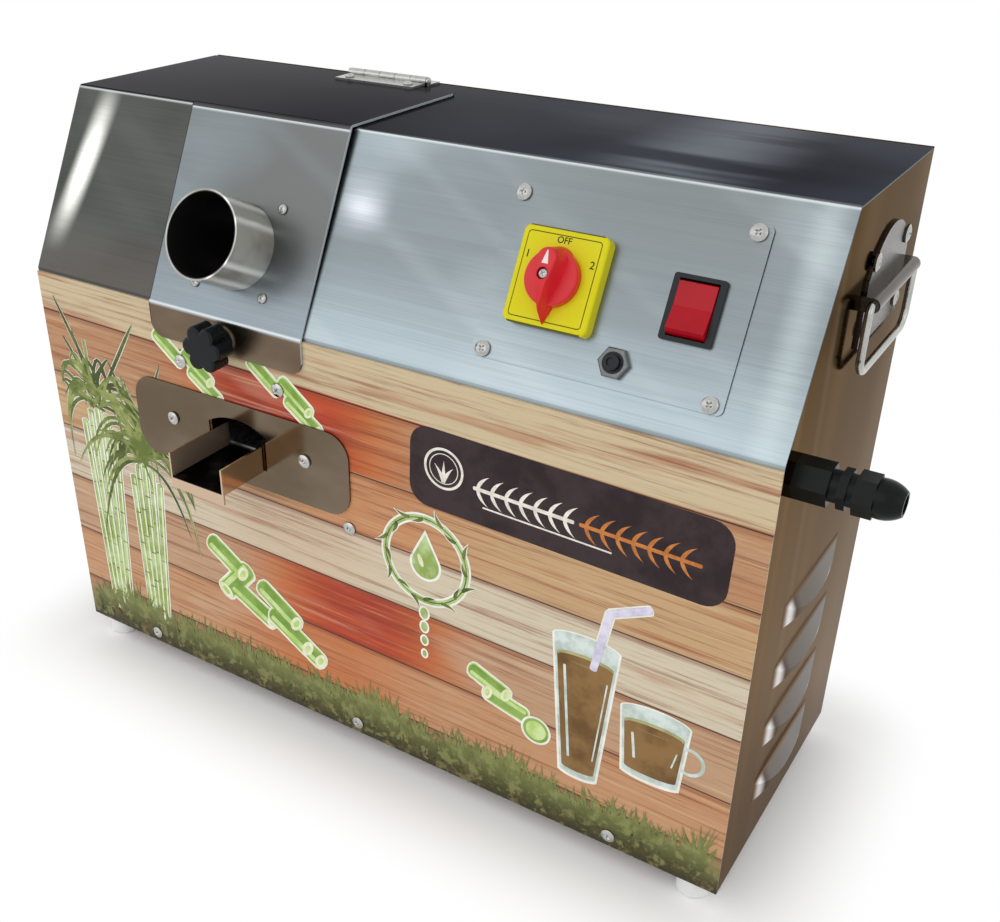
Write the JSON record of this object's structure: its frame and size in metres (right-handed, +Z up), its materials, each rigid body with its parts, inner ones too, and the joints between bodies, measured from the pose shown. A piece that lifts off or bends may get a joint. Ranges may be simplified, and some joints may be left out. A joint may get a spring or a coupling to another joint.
{
  "type": "sugarcane juicer",
  "caption": "Table-top electric sugarcane juicer: folded stainless cabinet with a sloped control face, feed tube hatch, roller mill, juice spout, louvred sides and folding carry handles.",
  "frame": {"origin": "middle of the underside of the cabinet's floor pan", "axes": "+X to the right as seen from the front, where the cable gland is; +Y to the back, where the pressed cane leaves; +Z up"},
  "size_m": [0.5371, 0.2399, 0.3839],
  "materials": {
    "satin_stainless": "brushed, satin",
    "mirror_stainless": "polished",
    "front_print": "printed sheet, satin",
    "zinc_steel": "zinc plated",
    "knob_black": "moulded, satin",
    "gland_black": "moulded nylon",
    "seal_rubber": "matte",
    "selector_yellow": "moulded, gloss",
    "handle_red": "moulded, gloss",
    "foot_white": "moulded, matte",
    "mill_iron": "machined and painted",
    "roller_steel": "turned and fluted",
    "bush_bronze": "machined",
    "gearbox_alloy": "cast, sandblasted",
    "motor_paint": "semi-gloss paint"
  },
  "bodies": {
    "cabinet": {"bagasse_chute": "roller_steel", "base_plate": "mirror_stainless", "breaker_body": "knob_black", "breaker_nut": "zinc_steel", "capacitor": "gearbox_alloy", "chute_plate": "mirror_stainless", "control_plate": "satin_stainless", "feet": "foot_white", "foot_screws": "zinc_steel", "front_panel": "front_print", "gearbox": "gearbox_alloy", "gland_body": "gland_black", "gland_dome_nut": "gland_black", "gland_locknut": "gland_black", "gland_seal": "seal_rubber", "handle_bolts": "zinc_steel", "handle_brackets": "zinc_steel", "hinge_pin": "zinc_steel", "hinge_rear_leaf": "zinc_steel", "hinge_rear_screws": "zinc_steel", "juice_chute": "mirror_stainless", "juice_tray": "roller_steel", "left_cover": "satin_stainless", "left_side_panel": "mirror_stainless", "main_cover": "satin_stainless", "mill_bushings": "bush_bronze", "mill_frame_left": "mill_iron", "mill_frame_right": "mill_iron", "mill_tie_bars": "mill_iron", "motor": "motor_paint", "motor_stand": "roller_steel", "panel_screws": "zinc_steel", "rear_panel": "mirror_stainless", "right_side_panel": "mirror_stainless", "rocker_bezel": "knob_black", "selector_body": "knob_black", "selector_plate": "selector_yellow", "trash_plate": "roller_steel"},
    "hatch": {"hatch_cover": "satin_stainless", "feed_tube": "mirror_stainless", "feed_tube_screws": "zinc_steel", "hinge_front_leaf": "zinc_steel", "hinge_front_screws": "zinc_steel"},
    "knob_washer": {"knob_washer": "zinc_steel"},
    "clamp_knob": {"clamp_knob": "knob_black", "clamp_stud": "zinc_steel"},
    "selector_handle": {"selector_handle": "handle_red", "selector_handle_screw": "zinc_steel"},
    "rocker_button": {"rocker_button": "handle_red"},
    "breaker_button": {"breaker_button": "knob_black"},
    "left_bail": {"left_bail": "zinc_steel"},
    "right_bail": {"right_bail": "zinc_steel"},
    "top_roller": {"top_roller": "roller_steel", "top_gear": "mill_iron", "drive_gear": "mill_iron"},
    "front_roller": {"front_roller": "roller_steel", "front_gear": "mill_iron"},
    "rear_roller": {"rear_roller": "roller_steel", "rear_gear": "mill_iron"},
    "output_shaft": {"motor_pinion": "mill_iron"}
  },
  "joints": [
    {"name": "hatch_hinge", "type": "hinge", "parent": "cabinet", "child": "hatch", "pos_m": [-0.0845, 0.075, 0.3673], "axis": [-1, 0, 0], "range_deg": [0, 105]},
    {"name": "knob_travel", "type": "slide", "parent": "hatch", "child": "knob_washer", "axis": [0, -1, 0], "range_m": [0, 0.00375]},
    {"name": "knob_turn", "type": "hinge", "parent": "knob_washer", "child": "clamp_knob", "pos_m": [-0.0845, -0.0915, 0.24937], "axis": [0, -1, 0], "range_deg": [0, 1080]},
    {"name": "selector_turn", "type": "hinge", "parent": "cabinet", "child": "selector_handle", "pos_m": [0.113, -0.06279, 0.3136], "axis": [0, -0.884, 0.4675], "range_deg": [-60, 60]},
    {"name": "rocker_tilt", "type": "hinge", "parent": "cabinet", "child": "rocker_button", "pos_m": [0.1812, -0.06116, 0.3124], "axis": [1, 0, 0], "range_deg": [0, 14]},
    {"name": "breaker_press", "type": "slide", "parent": "cabinet", "child": "breaker_button", "axis": [0, 0.884, -0.4675], "range_m": [0, 0.0025], "stiffness_N_per_m": 400},
    {"name": "left_bail_swing", "type": "hinge", "parent": "cabinet", "child": "left_bail", "pos_m": [-0.2454, 0.03, 0.311], "axis": [0, 1, 0], "range_deg": [0, 100]},
    {"name": "right_bail_swing", "type": "hinge", "parent": "cabinet", "child": "right_bail", "pos_m": [0.2454, 0.03, 0.311], "axis": [0, -1, 0], "range_deg": [0, 100]},
    {"name": "top_roller_spin", "type": "hinge", "parent": "cabinet", "child": "top_roller", "pos_m": [-0.132, 0.0038, 0.2992], "axis": [1, 0, 0], "continuous": true},
    {"name": "front_roller_spin", "type": "hinge", "parent": "cabinet", "child": "front_roller", "pos_m": [-0.132, -0.0242, 0.24613], "axis": [1, 0, 0], "continuous": true},
    {"name": "rear_roller_spin", "type": "hinge", "parent": "cabinet", "child": "rear_roller", "pos_m": [-0.132, 0.0318, 0.24613], "axis": [1, 0, 0], "continuous": true},
    {"name": "output_shaft_spin", "type": "hinge", "parent": "cabinet", "child": "output_shaft", "pos_m": [-0.003, 0.0038, 0.2212], "axis": [1, 0, 0], "continuous": true}
  ],
  "couplings": [
    {"joint": "knob_turn", "follows": "knob_travel", "rad_per_m": 5026.5},
    {"joint": "front_roller_spin", "follows": "top_roller_spin", "ratio": -1.5},
    {"joint": "rear_roller_spin", "follows": "top_roller_spin", "ratio": -1.5},
    {"joint": "output_shaft_spin", "follows": "top_roller_spin", "ratio": -2.25}
  ]
}
